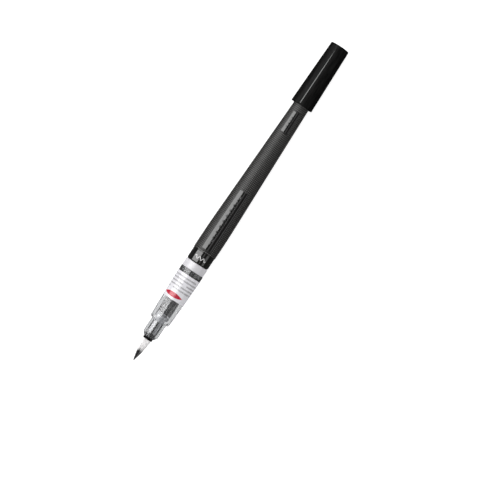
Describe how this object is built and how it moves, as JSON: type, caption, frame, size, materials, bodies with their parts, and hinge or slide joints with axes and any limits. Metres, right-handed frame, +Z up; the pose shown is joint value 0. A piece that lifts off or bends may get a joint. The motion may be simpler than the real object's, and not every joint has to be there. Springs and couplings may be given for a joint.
{
  "type": "squeeze brush pen",
  "caption": "Calligraphy brush pen with a pointed bristle tip, clear screw-on nozzle, tapered squeeze barrel of ink and a push-on cap posted on its tail.",
  "frame": {"origin": "middle of the pen's length, on the surface that it lies on, under its axis", "axes": "+X along the pen from the brush to the posted cap, +Z up through the smooth printed side, +Y to the left when looking from the brush to the cap"},
  "size_m": [0.19, 0.0128, 0.0129],
  "materials": {
    "bristle": "fine nylon filaments, soaked in black ink at the point",
    "black_gloss": "glossy black moulding",
    "fibre": "ink-soaked pressed fibre",
    "grey_plastic": "translucent grey moulding",
    "clear_plastic": "clear, faintly frosted moulding",
    "printed_film": "white film with a red and grey print",
    "white_plastic": "satin white moulding",
    "barrel_plastic": "near-black with a fine raised dot grain and a glossy front band",
    "natural_plastic": "unpigmented waxy moulding",
    "ink": "black ink",
    "cap_plastic": "satin black moulding with fine lengthwise draw lines"
  },
  "bodies": {
    "barrel": {"ink_barrel": "barrel_plastic", "neck_stopper": "natural_plastic", "ink_charge": "ink"},
    "ring": {"spacer_ring": "white_plastic"},
    "front": {"front_section": "clear_plastic", "brush_holder": "black_gloss", "brush_tuft": "bristle", "feed_tube": "grey_plastic", "ink_wick": "fibre", "flow_plug": "fibre", "grip_label": "printed_film"},
    "cap": {"cap_shell": "cap_plastic", "cap_liner": "natural_plastic"}
  },
  "joints": [
    {"name": "cap_pull", "type": "slide", "parent": "barrel", "child": "cap", "axis": [1, 0, 0], "range_m": [0, 0.03]},
    {"name": "ring_slide", "type": "slide", "parent": "barrel", "child": "ring", "axis": [-1, 0, 0], "range_m": [0, 0.0045]},
    {"name": "section_turn", "type": "hinge", "parent": "ring", "child": "front", "pos_m": [-0.053, 0, 0.00645], "axis": [-1, 0, 0], "range_deg": [0, 1080]}
  ],
  "couplings": [
    {"joint": "section_turn", "follows": "ring_slide", "rad_per_m": 4188.8}
  ]
}
